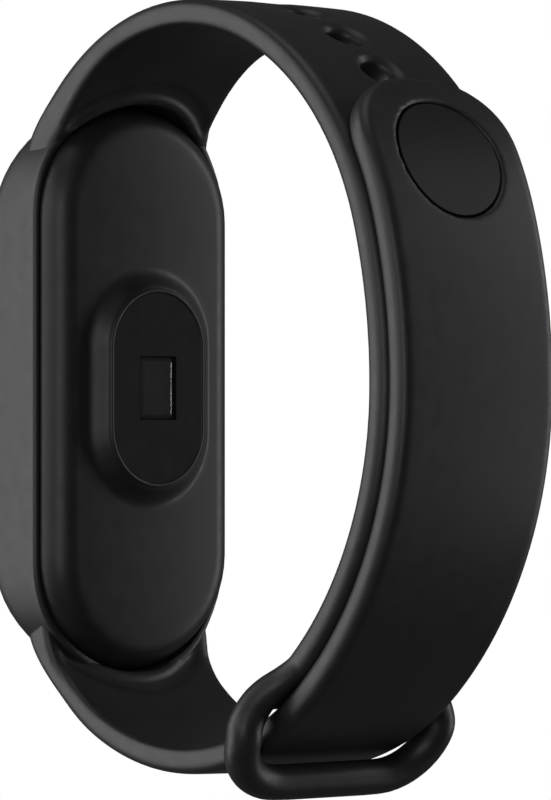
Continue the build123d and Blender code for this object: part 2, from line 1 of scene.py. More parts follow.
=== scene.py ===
import bpy
import bmesh
import json
import math
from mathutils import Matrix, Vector


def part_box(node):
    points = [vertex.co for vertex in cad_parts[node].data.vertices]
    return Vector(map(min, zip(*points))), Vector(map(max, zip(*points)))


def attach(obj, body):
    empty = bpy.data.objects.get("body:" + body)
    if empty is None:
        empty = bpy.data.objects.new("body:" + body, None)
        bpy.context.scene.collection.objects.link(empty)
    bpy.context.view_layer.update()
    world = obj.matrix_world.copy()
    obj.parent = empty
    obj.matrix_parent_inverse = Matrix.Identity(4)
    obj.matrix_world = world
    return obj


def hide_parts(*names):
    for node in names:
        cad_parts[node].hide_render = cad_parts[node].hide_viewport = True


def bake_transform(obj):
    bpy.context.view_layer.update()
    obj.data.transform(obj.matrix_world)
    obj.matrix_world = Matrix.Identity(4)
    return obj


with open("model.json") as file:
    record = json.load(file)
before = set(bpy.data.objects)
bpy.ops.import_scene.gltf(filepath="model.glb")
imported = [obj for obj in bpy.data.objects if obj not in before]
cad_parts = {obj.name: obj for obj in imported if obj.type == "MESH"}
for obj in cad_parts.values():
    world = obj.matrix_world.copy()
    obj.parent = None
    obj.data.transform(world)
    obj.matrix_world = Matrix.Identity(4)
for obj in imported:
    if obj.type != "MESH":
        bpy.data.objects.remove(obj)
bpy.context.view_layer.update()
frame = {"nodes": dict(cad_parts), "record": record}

MM = 0.001
VOXEL = 0.2

# ---- strap sizes, in millimetres, as the frame has them ----------------------
STRAP_HALF = (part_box("strap_pin_arm")[1].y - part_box("strap_pin_arm")[0].y) / 2 / MM
THICK = 2.05
GAP = 0.25
OUTER = 2 * THICK + GAP
ARM_START = (8.06, -21.33)
ARM_START_HEADING = 40.0
HOLE_ARM_ARCS = [(27.8, 49.6), (40.9, 17.7), (23.3, 51.7), (20.9, 67.2), (6.6, 40.6)]
PIN_ARM_ARCS = [(22.9, 64.5), (14.7, 40.1)]
BUTTON_HEADING = 115.8
TIP_HEADING = 130.6
RECESS_LIP = 0.3
RECESS_EDGE = 0.45
RECESS_FLOOR_END = 1.1
RECESS_STEP_END = 1.9
RECESS_DEPTH = 0.22
RECESS_HALF = 6.2
RECESS_SIDE_FADE = 1.4
RECESS_MAX_X = -8
RECESS_MIN_Z = 18
RECESS_MIN_FACING = 0.25
HOLE_PITCH = 4.9
HOLES_TO_CAPSULE = 5
HOLES_TO_LOOP = 8
CRADLE_FLARE = 0.66
ROOT_THICKENING = 1.2
LOOP_TUBE = 1.42
LOOP_HALF_WIDTH = 9.9
LOOP_MIDDLE = (6.2, -26.9)
LOOP_BAR = (4.1, -30.8)
LOOP_CORNER = 4.8

# ---- capsule and cradle sizes -------------------------------------------------
WINDOW_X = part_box("sensor_window")[1].x / MM
BACK_X = -18.1
POCKET = (9.44, 23.21)
FLANGE_HALF_LENGTH = 23.48
WALL_HALF = (9.9, 24.0)
SHOULDER_X = -22.5
SEAM_X = -20.45
CAPSULE_FRONT_X = -27.0
CRADLE_FRONT_X = -26.3
LEDGE_X = -26.45
FRONT_FLAT_HALF = 12.3
FRONT_BEND_RADIUS = 18.0


# ---- paths ----------------------------------------------------------------------
def outward(heading):
    """Outward direction (x, z) for a direction of travel in degrees."""
    turn = math.radians(heading)
    return math.sin(turn), -math.cos(turn)


def arc_chain(start, heading, arcs, direction=1):
    """A chain of tangent arcs as rows of (centre x, centre z, radius, from, to)."""
    rows = []
    x, z = start
    for radius, turn in arcs:
        nx, nz = outward(heading)
        cx, cz = x - radius * nx, z - radius * nz
        end = heading + direction * turn
        rows.append((cx, cz, radius, heading, end))
        nx, nz = outward(end)
        x, z = cx + radius * nx, cz + radius * nz
        heading = end
    return rows


HOLE_PATH = arc_chain(ARM_START, ARM_START_HEADING, HOLE_ARM_ARCS)
LAYER_STEP = THICK + GAP
START_OUT = outward(ARM_START_HEADING)
PIN_START = (ARM_START[0] + LAYER_STEP * START_OUT[0], ARM_START[1] + LAYER_STEP * START_OUT[1])
LOWER_PATH = arc_chain(PIN_START, ARM_START_HEADING, PIN_ARM_ARCS, -1)
PIN_PATH = [(cx, cz, r, end, begin) for cx, cz, r, begin, end in reversed(LOWER_PATH)]
PIN_PATH += [(cx, cz, r + LAYER_STEP, begin, end) for cx, cz, r, begin, end in HOLE_PATH[:3]]


def on_path(path, heading, lift=0.0):
    """The point (x, z) where the path has this heading, moved outward by lift."""
    for cx, cz, radius, begin, end in path:
        if begin - 1e-6 <= heading <= end + 1e-6:
            nx, nz = outward(heading)
            return cx + (radius + lift) * nx, cz + (radius + lift) * nz
    raise ValueError(heading)


def stations(path, first, last, step):
    """Headings along the path from first to last, about step millimetres apart."""
    found = []
    for _cx, _cz, radius, begin, end in path:
        low, high = max(begin, first), min(end, last)
        if high <= low:
            continue
        count = max(2, round(math.radians(high - low) * radius / step))
        found += [low + (high - low) * i / count for i in range(count)]
    return found + [last]


def travel(path, heading, distance):
    """The heading reached by going a distance along the middle of the layer."""
    left = abs(distance)
    sign = 1 if distance > 0 else -1
    while left > 1e-6:
        step = min(left, 0.05)
        radius = next(r for _x, _z, r, begin, end in path if begin <= heading <= end)
        heading += sign * math.degrees(step / (radius + THICK / 2))
        left -= step
    return heading


def smooth_step(t):
    t = min(1.0, max(0.0, t))
    return t * t * (3 - 2 * t)


# ---- mesh helpers ------------------------------------------------------------------
def mesh_object(name, verts, faces):
    """A new object from millimetre points."""
    mesh = bpy.data.meshes.new(name)
    mesh.from_pydata([(x * MM, y * MM, z * MM) for x, y, z in verts], [], faces)
    mesh.validate()
    obj = bpy.data.objects.new(name, mesh)
    bpy.context.scene.collection.objects.link(obj)
    bm = bmesh.new()
    bm.from_mesh(mesh)
    bmesh.ops.recalc_face_normals(bm, faces=bm.faces)
    bm.to_mesh(mesh)
    bm.free()
    return obj


def ring_mesh(name, rings, closed=False):
    """Quads between rings of points; a closed one joins its last ring to its first."""
    count = len(rings[0])
    verts = [p for ring in rings for p in ring]
    faces = []
    pairs = len(rings) if closed else len(rings) - 1
    for i in range(pairs):
        a, b = i * count, ((i + 1) % len(rings)) * count
        for j in range(count):
            k = (j + 1) % count
            faces.append((a + j, a + k, b + k, b + j))
    if not closed:
        faces.append(tuple(range(count)))
        last = (len(rings) - 1) * count
        faces.append(tuple(last + j for j in reversed(range(count))))
    return mesh_object(name, verts, faces)


def section(half, low, high, round_out, round_in, crown=0.0):
    """A strap section (y, lift): rounded corners, larger ones outside, and a slight crown."""
    points = []
    corners = [
        (half - round_out, high - round_out, round_out, 0),
        (-half + round_out, high - round_out, round_out, 90),
        (-half + round_in, low + round_in, round_in, 180),
        (half - round_in, low + round_in, round_in, 270),
    ]
    steps = 6
    flat = 10
    for index, (cy, ch, radius, begin) in enumerate(corners):
        for i in range(steps + 1):
            angle = math.radians(begin + 90 * i / steps)
            points.append((cy + radius * math.cos(angle), ch + radius * math.sin(angle)))
        y0, h0 = points[-1]
        ny, nh, nr, nbegin = corners[(index + 1) % 4]
        angle = math.radians(nbegin)
        y1, h1 = ny + nr * math.cos(angle), nh + nr * math.sin(angle)
        between = flat if index in (0, 2) else 2
        for i in range(1, between):
            t = i / between
            points.append((y0 + (y1 - y0) * t, h0 + (h1 - h0) * t))
    if crown:
        top = high - round_out * 0.5
        points = [(y, h + (crown * (1 - (y / half) ** 2) if h > top else 0)) for y, h in points]
    return points


def band(name, path, first, last, width_at, root_at, end_round=None, step=0.7):
    """A strap layer swept along its path. width_at(heading) is its half width,
    root_at(heading) how much thicker it is on its inner side."""
    rings = []
    headings = stations(path, first, last, step)
    if end_round:
        headings += end_round["headings"]
    for heading in sorted(set(headings)):
        half = width_at(heading)
        inset = end_round["inset"](heading) if end_round else 0.0
        low, high = inset - root_at(heading), THICK - inset
        rounding = min(0.85, 0.48 * (high - low), half * 0.9)
        outline = section(half, low, high, rounding, min(0.55, rounding), crown=0.14)
        nx, nz = outward(heading)
        cx, cz = on_path(path, heading)
        rings.append([(cx + h * nx, y, cz + h * nz) for y, h in outline])
    return ring_mesh(name, rings)


def stadium(half_width, half_length, bend=14, straight=26):
    """A closed outline (y, z) of a stadium that stands along Z."""
    reach = half_length - half_width
    points = []
    for i in range(straight):
        points.append((half_width, -reach + 2 * reach * i / straight))
    for i in range(2 * bend):
        angle = math.pi * i / (2 * bend)
        points.append((half_width * math.cos(angle), reach + half_width * math.sin(angle)))
    for i in range(straight):
        points.append((-half_width, reach - 2 * reach * i / straight))
    for i in range(2 * bend):
        angle = math.pi + math.pi * i / (2 * bend)
        points.append((half_width * math.cos(angle), -reach + half_width * math.sin(angle)))
    return points


def bent(z):
    """How far the capsule's bent front lies behind its flat middle, at this height."""
    past = max(0.0, abs(z) - FRONT_FLAT_HALF)
    return FRONT_BEND_RADIUS - math.sqrt(FRONT_BEND_RADIUS ** 2 - past ** 2)


def stadium_ring(half_width, half_length, x_at):
    """A stadium at a depth x_at(y, z)."""
    return [(x_at(y, z), y, z) for y, z in stadium(half_width, half_length)]


def join_by(obj, other, operation):
    """Boolean with another object, which is then removed."""
    modifier = obj.modifiers.new("cut", "BOOLEAN")
    modifier.operation = operation
    modifier.solver = "EXACT"
    modifier.object = other
    apply_modifiers(obj)
    bpy.data.objects.remove(other)


def apply_modifiers(obj):
    """Bakes an object's modifiers into its mesh."""
    graph = bpy.context.evaluated_depsgraph_get()
    mesh = bpy.data.meshes.new_from_object(obj.evaluated_get(graph))
    obj.modifiers.clear()
    obj.data = mesh


def melt(obj, voxel):
    """Remeshes an object evenly, so joined shapes flow into each other."""
    remesh = obj.modifiers.new("remesh", "REMESH")
    remesh.mode = "VOXEL"
    remesh.voxel_size = voxel * MM
    apply_modifiers(obj)


def relax(obj, passes):
    """Evens a mesh out, a little with each pass."""
    smooth = obj.modifiers.new("relax", "SMOOTH")
    smooth.factor = 0.5
    smooth.iterations = passes
    apply_modifiers(obj)


def smooth_shading(obj, angle=None):
    for polygon in obj.data.polygons:
        polygon.use_smooth = True
    if angle is not None:
        obj.data.set_sharp_from_angle(angle=math.radians(angle))


def pill_cutter(half_width, half_length, x_from, x_to):
    rings = [stadium_ring(half_width, half_length, lambda y, z, x=x: x) for x in (x_from, x_to)]
    return ring_mesh("cutter", rings)


def disc_cutter(x, z, heading, low, high, radius_low, radius_high, count=40):
    """A cone or cylinder across the strap at a point; low and high are measured outward."""
    nx, nz = outward(heading)
    tx, tz = -nz, nx
    rings = []
    for lift, radius in ((low, radius_low), (high, radius_high)):
        ring = []
        for i in range(count):
            angle = 2 * math.pi * i / count
            along, across = radius * math.cos(angle), radius * math.sin(angle)
            ring.append((x + lift * nx + along * tx, across, z + lift * nz + along * tz))
        rings.append(ring)
    return ring_mesh("cutter", rings)


# ---- materials -------------------------------------------------------------------------
def principled(name, base, roughness, **extra):
    """A material with constant shader values; returns the material and its shader."""
    material = bpy.data.materials.new(name)
    material.use_nodes = True
    shader = material.node_tree.nodes["Principled BSDF"]
    shader.inputs["Base Color"].default_value = (*base, 1.0)
    shader.inputs["Roughness"].default_value = roughness
    for key, value in extra.items():
        shader.inputs[key.replace("_", " ")].default_value = value
    return material, shader


def noise(tree, scale, detail=3.0, roughness=0.5):
    """Solid noise in the object's own coordinates; scale is in cycles per metre."""
    coords = tree.nodes.new("ShaderNodeTexCoord")
    texture = tree.nodes.new("ShaderNodeTexNoise")
    texture.inputs["Scale"].default_value = scale
    texture.inputs["Detail"].default_value = detail
    texture.inputs["Roughness"].default_value = roughness
    tree.links.new(coords.outputs["Object"], texture.inputs["Vector"])
    return texture


def add_grain(material, shader, scale, depth, detail=3.0):
    """A fine bump over the whole surface; depth in millimetres."""
    tree = material.node_tree
    texture = noise(tree, scale, detail)
    bump = tree.nodes.new("ShaderNodeBump")
    bump.inputs["Strength"].default_value = 1.0
    bump.inputs["Distance"].default_value = depth * MM
    tree.links.new(texture.outputs["Fac"], bump.inputs["Height"])
    tree.links.new(bump.outputs["Normal"], shader.inputs["Normal"])


def vary(material, shader, socket, scale, low, high, detail=4.0):
    """A value that wanders between low and high over the surface."""
    tree = material.node_tree
    texture = noise(tree, scale, detail)
    spread = tree.nodes.new("ShaderNodeMapRange")
    spread.inputs["From Min"].default_value = 0.3
    spread.inputs["From Max"].default_value = 0.7
    spread.inputs["To Min"].default_value = low
    spread.inputs["To Max"].default_value = high
    tree.links.new(texture.outputs["Fac"], spread.inputs["Value"])
    tree.links.new(spread.outputs["Result"], shader.inputs[socket])


def vary_colour(material, shader, scale, dark, light, detail=3.0):
    """A base colour that wanders between two colours."""
    tree = material.node_tree
    texture = noise(tree, scale, detail)
    ramp = tree.nodes.new("ShaderNodeValToRGB")
    ramp.color_ramp.elements[0].position = 0.35
    ramp.color_ramp.elements[0].color = (*dark, 1.0)
    ramp.color_ramp.elements[1].position = 0.65
    ramp.color_ramp.elements[1].color = (*light, 1.0)
    tree.links.new(texture.outputs["Fac"], ramp.inputs["Fac"])
    tree.links.new(ramp.outputs["Color"], shader.inputs["Base Color"])


def finished(name, dark, light, rough, grain_scale, grain_depth, colour_scale=400.0, **extra):
    """A moulded or coated finish: colour and gloss that wander a little, and a fine grain."""
    material, shader = principled(name, light, rough[0], **extra)
    vary_colour(material, shader, colour_scale, dark, light)
    vary(material, shader, "Roughness", colour_scale * 2, rough[0], rough[1])
    if grain_depth:
        add_grain(material, shader, grain_scale, grain_depth)
    return material


def make_materials():
    """Every material, by the record's slot name."""
    return {
        "strap_rubber": finished(
            "tpu_black", (0.0165, 0.0165, 0.017), (0.020, 0.020, 0.0205), (0.40, 0.47),
            7000.0, 0.005, Specular_IOR_Level=0.5,
        ),
        "shell_plastic": finished(
            "housing_black", (0.0125, 0.0125, 0.013), (0.0155, 0.0155, 0.016), (0.40, 0.47),
            9000.0, 0.003, Specular_IOR_Level=0.5,
        ),
        "button_coat": finished(
            "button_satin", (0.0095, 0.0095, 0.010), (0.0115, 0.0115, 0.012), (0.42, 0.46),
            12000.0, 0.0012, Specular_IOR_Level=0.36,
        ),
        "steel": finished(
            "turned_steel", (0.50, 0.50, 0.51), (0.62, 0.62, 0.63), (0.22, 0.34),
            5000.0, 0.001, Metallic=1.0,
        ),
        "cover_glass": finished(
            "cover_glass", (0.003, 0.003, 0.0035), (0.004, 0.004, 0.0045), (0.04, 0.08),
            2000.0, 0.0, Coat_Weight=1.0, Coat_Roughness=0.03,
        ),
        "window_plastic": finished(
            "window_dark", (0.010, 0.010, 0.0105), (0.0115, 0.0115, 0.012), (0.24, 0.27),
            8000.0, 0.0004, Coat_Weight=0.3, Coat_Roughness=0.1,
        ),
        "clear_lens": finished(
            "lens_clear", (0.05, 0.05, 0.052), (0.065, 0.065, 0.068), (0.1, 0.14),
            4000.0, 0.0, Alpha=0.62, Coat_Weight=0.8, Coat_Roughness=0.05,
        ),
        "gasket_foam": finished(
            "seal_black", (0.010, 0.010, 0.010), (0.02, 0.02, 0.02), (0.7, 0.85), 4000.0, 0.02,
        ),
        "film": finished("touch_film", (0.20, 0.21, 0.19), (0.26, 0.27, 0.25), (0.2, 0.3), 900.0, 0.0),
        "display": finished(
            "display_off", (0.004, 0.004, 0.006), (0.006, 0.006, 0.009), (0.12, 0.2), 3000.0, 0.0,
        ),
        "flex_film": finished(
            "flex_amber", (0.30, 0.13, 0.02), (0.45, 0.22, 0.04), (0.3, 0.42), 3000.0, 0.004,
        ),
        "frame_plastic": finished(
            "tray_grey", (0.09, 0.09, 0.095), (0.13, 0.13, 0.135), (0.5, 0.62), 6000.0, 0.006,
        ),
        "battery_foil": finished(
            "pouch_foil", (0.42, 0.42, 0.44), (0.6, 0.6, 0.62), (0.28, 0.45), 700.0, 0.05,
            Metallic=0.9,
        ),
        "tape": finished("tape_tan", (0.40, 0.33, 0.16), (0.5, 0.43, 0.24), (0.6, 0.75), 1500.0, 0.01),
        "board_green": finished(
            "board_green", (0.008, 0.06, 0.02), (0.02, 0.11, 0.04), (0.3, 0.45), 2500.0, 0.004,
        ),
        "chip_black": finished(
            "chip_black", (0.014, 0.014, 0.014), (0.03, 0.03, 0.03), (0.45, 0.6), 9000.0, 0.004,
        ),
        "can_tin": finished(
            "tin_sheet", (0.5, 0.5, 0.48), (0.64, 0.64, 0.61), (0.25, 0.4), 4000.0, 0.003, Metallic=1.0,
        ),
        "copper_gold": finished(
            "gold_plate", (0.62, 0.40, 0.13), (0.78, 0.55, 0.22), (0.2, 0.32), 4000.0, 0.002,
            Metallic=1.0,
        ),
        "led_lens": finished("led_milky", (0.35, 0.5, 0.3), (0.45, 0.6, 0.4), (0.15, 0.3), 3000.0, 0.002),
        "diode": finished("diode_dark", (0.02, 0.03, 0.06), (0.04, 0.05, 0.09), (0.1, 0.2), 3000.0, 0.0),
        "barrier_plastic": finished(
            "barrier_black", (0.05, 0.05, 0.05), (0.075, 0.075, 0.075), (0.4, 0.55), 6000.0, 0.004,
        ),
        "lead_sleeve": finished(
            "lead_red", (0.3, 0.02, 0.015), (0.42, 0.04, 0.03), (0.4, 0.5), 3000.0, 0.004,
        ),
        "tungsten": finished(
            "weight_grey", (0.2, 0.2, 0.21), (0.32, 0.32, 0.33), (0.35, 0.5), 5000.0, 0.01,
            Metallic=1.0,
        ),
    }


MATERIALS = make_materials()


def dress(obj, slot):
    """Gives a new piece the material of the record's slot it stands for."""
    obj.data.materials.clear()
    obj.data.materials.append(MATERIALS[slot])
    return obj


def dress_cad_nodes():
    """Every CAD node gets the material of its slot in the record."""
    for row in frame["record"]["subparts"]:
        node = frame["nodes"][row["node"]]
        material = MATERIALS[row["material_slot"]]
        if not node.data.materials:
            node.data.materials.append(material)
        for index in range(len(node.data.materials)):
            node.data.materials[index] = material


# ---- strap pieces ---------------------------------------------------------------------------
def hole_width(heading):
    """Half width of the hole arm: flared into the cradle."""
    flare = CRADLE_FLARE * smooth_step((heading - 222) / 40)
    return STRAP_HALF + flare


def hole_root(heading):
    return ROOT_THICKENING * smooth_step((heading - 200) / 35)


def pin_root(heading):
    return 0.6 * ROOT_THICKENING * smooth_step((-50 - heading) / 13)


def pin_width(heading):
    """Half width of the pin arm: flared into the cradle; the tip's narrowing is in tip_width."""
    flare = CRADLE_FLARE * smooth_step((-40 - heading) / 22)
    return STRAP_HALF + flare


TIP_ARC_RADIUS = HOLE_PATH[2][2] + OUTER
TIP_CORNER = 7.0
TIP_SQUARENESS = 2.35
TIP_ROUNDING = 0.85
TIP_STEPS = (0.0, 0.05, 0.12, 0.25, 0.4, 0.6, TIP_ROUNDING)
TIP_END = TIP_HEADING + 1.2


def tip_left(heading):
    """How far a heading on the tip is from its end, in millimetres."""
    return math.radians(TIP_END - heading) * TIP_ARC_RADIUS


def tip_width(heading):
    left = tip_left(heading)
    if left >= TIP_CORNER:
        return STRAP_HALF
    reach = 1 - max(left, 0.0) / TIP_CORNER
    return STRAP_HALF * max(0.02, (1 - reach ** TIP_SQUARENESS) ** (1 / TIP_SQUARENESS))


def tip_inset(heading):
    left = tip_left(heading)
    if left >= TIP_ROUNDING:
        return 0.0
    short = TIP_ROUNDING - max(left, 0.0)
    return TIP_ROUNDING - math.sqrt(max(0.0, TIP_ROUNDING ** 2 - short ** 2))


HOLE_RADIUS = 1.45
BUTTON_HOLE_RADIUS = 1.75
HOLE_CUT = (-1.0, 4.0)
DISH_RADII = (1.35, 2.35)
DISH_DEPTH = 0.45
DISH_CLEARANCE = 0.35


def hole_cutters():
    """Cutters for every hole of the row, straight in the middle and dished outside."""
    headings = [BUTTON_HEADING]
    headings += [travel(HOLE_PATH, BUTTON_HEADING, HOLE_PITCH * i) for i in range(1, HOLES_TO_CAPSULE + 1)]
    headings += [travel(HOLE_PATH, BUTTON_HEADING, -HOLE_PITCH * i) for i in range(1, HOLES_TO_LOOP + 1)]
    cutters = []
    for heading in headings:
        x, z = on_path(HOLE_PATH, heading)
        radius = BUTTON_HOLE_RADIUS if heading == BUTTON_HEADING else HOLE_RADIUS
        cutters.append(disc_cutter(x, z, heading, *HOLE_CUT, radius, radius))
        dish = (THICK - DISH_DEPTH, THICK + DISH_CLEARANCE)
        cutters.append(disc_cutter(x, z, heading, *dish, *DISH_RADII))
    return cutters


LOOP_UNDER_TURN = 7
LOOP_UNDER_LIFT = 0.95
LOOP_END_LIFT = 1.0
LOOP_KNEE = 2.7
LOOP_UNDER_INSET = 1.75
LOOP_EDGE_INSET = 0.85
LOOP_SIDE_RISE = 0.9
LOOP_BAR_HALF = 2.0


def loop_route():
    """Half of the keeper loop's centre line: from under the arm's edge to the middle of the bar."""
    out = outward(ARM_START_HEADING)
    back = (out[1], -out[0])
    under = on_path(HOLE_PATH, ARM_START_HEADING + LOOP_UNDER_TURN, LOOP_UNDER_LIFT)
    end = on_path(HOLE_PATH, ARM_START_HEADING, LOOP_END_LIFT)
    knee = (end[0] + LOOP_KNEE * back[0], end[1] + LOOP_KNEE * back[1])
    side = LOOP_HALF_WIDTH
    route = [
        (under[0], -STRAP_HALF + LOOP_UNDER_INSET, under[1]),
        (end[0], -STRAP_HALF + LOOP_EDGE_INSET, end[1]),
        (knee[0], -STRAP_HALF - LOOP_EDGE_INSET, knee[1]),
        (LOOP_MIDDLE[0], -side, LOOP_MIDDLE[1] + LOOP_SIDE_RISE),
    ]
    steps = 6
    for i in range(steps + 1):
        angle = math.radians(90 * i / steps)
        down = math.sin(angle)
        route.append((
            LOOP_MIDDLE[0] + (LOOP_BAR[0] - LOOP_MIDDLE[0]) * down,
            LOOP_CORNER * (1 - math.cos(angle)) - side,
            LOOP_MIDDLE[1] + (LOOP_BAR[1] - LOOP_MIDDLE[1]) * down,
        ))
    route.append((LOOP_BAR[0], -LOOP_BAR_HALF, LOOP_BAR[1]))
    return route


def loop_tube():
    """The keeper loop: a round tube that leaves the arm's two edges and crosses outside."""
    near = loop_route()
    route = near + [(x, -y, z) for x, y, z in reversed(near)]
    curve = bpy.data.curves.new("loop_route", "CURVE")
    curve.dimensions = "3D"
    spline = curve.splines.new("NURBS")
    spline.points.add(len(route) - 1)
    last = len(route) - 1
    for index, (point, (x, y, z)) in enumerate(zip(spline.points, route)):
        point.co = (x * MM, y * MM, z * MM, 1.0)
        point.radius = min(1.0, 0.62 + 0.14 * min(index, last - index))
    spline.order_u = 3
    spline.use_endpoint_u = True
    spline.resolution_u = 16
    curve.bevel_depth = LOOP_TUBE * MM
    curve.bevel_resolution = 8
    curve.use_fill_caps = True
    holder = bpy.data.objects.new("loop_route", curve)
    bpy.context.scene.collection.objects.link(holder)
    bpy.context.view_layer.update()
    graph = bpy.context.evaluated_depsgraph_get()
    mesh = bpy.data.meshes.new_from_object(holder.evaluated_get(graph))
    tube = bpy.data.objects.new("loop_tube", mesh)
    bpy.context.scene.collection.objects.link(tube)
    bpy.data.objects.remove(holder)
    bm = bmesh.new()
    bm.from_mesh(mesh)
    bmesh.ops.remove_doubles(bm, verts=bm.verts, dist=1e-7)
    bmesh.ops.recalc_face_normals(bm, faces=bm.faces)
    bm.to_mesh(mesh)
    bm.free()
    return tube


def cut_for_capsule(obj):
    """Takes the capsule's room out of an arm's root."""
    join_by(obj, pill_cutter(*POCKET, -60.0, 0.0), "DIFFERENCE")


def press_recess(obj):
    """Sinks a shallow step into the arm's inner face round the capsule's end, with a thin lip."""
    normals = [vertex.normal.copy() for vertex in obj.data.vertices]
    for vertex, normal in zip(obj.data.vertices, normals):
        x, y, z = vertex.co / MM
        if x > RECESS_MAX_X or abs(z) < RECESS_MIN_Z or normal.x < RECESS_MIN_FACING:
            continue
        away = math.hypot(y, abs(z) - (POCKET[1] - POCKET[0])) - POCKET[0]
        sunk = smooth_step((away - RECESS_LIP) / RECESS_EDGE)
        sunk *= 1 - smooth_step((away - RECESS_FLOOR_END) / (RECESS_STEP_END - RECESS_FLOOR_END))
        sunk *= 1 - smooth_step((abs(y) - RECESS_HALF) / RECESS_SIDE_FADE)
        vertex.co -= normal * RECESS_DEPTH * sunk * MM


def make_hole_arm():
    """The inner strap layer with its holes, flowing into the keeper loop."""
    arm = band("strap_hole_arm_skin", HOLE_PATH, ARM_START_HEADING, 266.0, hole_width, hole_root)
    join_by(arm, loop_tube(), "UNION")
    join_by(arm, end_shelf(), "UNION")
    for cutter in hole_cutters():
        join_by(arm, cutter, "DIFFERENCE")
    cut_for_capsule(arm)
    melt(arm, VOXEL)
    relax(arm, 2)
    press_recess(arm)
    relax(arm, 3)
    smooth_shading(arm)
    dress(arm, "strap_rubber")
    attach(arm, "strap")
    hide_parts("strap_hole_arm", "strap_keeper_loop")
    return arm


SHELF_ROUND = 0.85
SHELF_REACH = 3.4
SHELF_OUTER_EXTRA = 0.9
SHELF_ROOT_INSET = 0.3
SHELF_STEPS = 12


def end_shelf():
    """The hole arm's end between the loop's limbs: a slab with a round edge."""
    out = outward(ARM_START_HEADING)
    x, z = on_path(HOLE_PATH, ARM_START_HEADING + 0.5, THICK / 2)
    turn = math.degrees(math.atan2(out[1], out[0]))
    outer_end = (turn - 180, SHELF_REACH, STRAP_HALF + SHELF_OUTER_EXTRA)
    root_end = (turn, 0.0, STRAP_HALF - SHELF_ROOT_INSET)
    profile = []
    for begin, shift, half in (outer_end, root_end):
        for i in range(SHELF_STEPS + 1):
            angle = math.radians(begin + 180 * i / SHELF_STEPS)
            px = x + out[1] * shift + SHELF_ROUND * math.cos(angle)
            pz = z - out[0] * shift + SHELF_ROUND * math.sin(angle)
            profile.append((px, pz, half))
    return ring_mesh("end_shelf", [[(px, side * half, pz) for px, pz, half in profile] for side in (-1, 1)])


BUTTON_SEAT_LEVELS = (-1.05, 2.0)
BUTTON_SEAT_RADII = (4.97, 5.12)
BUTTON_SEAT_SIDES = 64
STUD_HOLE_LEVELS = (-4.0, 1.0)
STUD_HOLE_RADIUS = 1.15
TIP_WIDTH_FROM = 100


def make_pin_arm():
    """The outer strap layer, from the cradle through the loop to the rounded tip."""
    fine = [TIP_END - math.degrees(d / TIP_ARC_RADIUS) for d in TIP_STEPS]
    close = {"headings": fine, "inset": tip_inset}

    def width(heading):
        return tip_width(heading) if heading > TIP_WIDTH_FROM else pin_width(heading)

    arm = band("strap_pin_arm_skin", PIN_PATH, PIN_PATH[0][3], TIP_END, width, pin_root, close)
    x, z = on_path(HOLE_PATH, BUTTON_HEADING, OUTER)
    seat = (*BUTTON_SEAT_LEVELS, *BUTTON_SEAT_RADII, BUTTON_SEAT_SIDES)
    join_by(arm, disc_cutter(x, z, BUTTON_HEADING, *seat), "DIFFERENCE")
    stud = (*STUD_HOLE_LEVELS, STUD_HOLE_RADIUS, STUD_HOLE_RADIUS)
    join_by(arm, disc_cutter(x, z, BUTTON_HEADING, *stud), "DIFFERENCE")
    cut_for_capsule(arm)
    melt(arm, VOXEL)
    relax(arm, 2)
    press_recess(arm)
    relax(arm, 3)
    smooth_shading(arm)
    dress(arm, "strap_rubber")
    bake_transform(arm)
    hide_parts("strap_pin_arm", "strap_tip")
    return arm


RIM_RISE = 0.55
RIM_RISE_FROM = 18.5
RIM_RISE_LENGTH = 4.0
RIM_ROUND = 0.38
POCKET_MOUTH_ROUND = (0.18, 0.4)
WALL_FRONT_ROUND = (0.2, 1.1)
SHOULDER_SLOPE = (0.12, 0.1)
FLANGE_CLEARANCE = 0.1


def rim_rise(z):
    """The cradle's rear rim climbs a little towards the arms at both ends."""
    return RIM_RISE * smooth_step((abs(z) - RIM_RISE_FROM) / RIM_RISE_LENGTH)


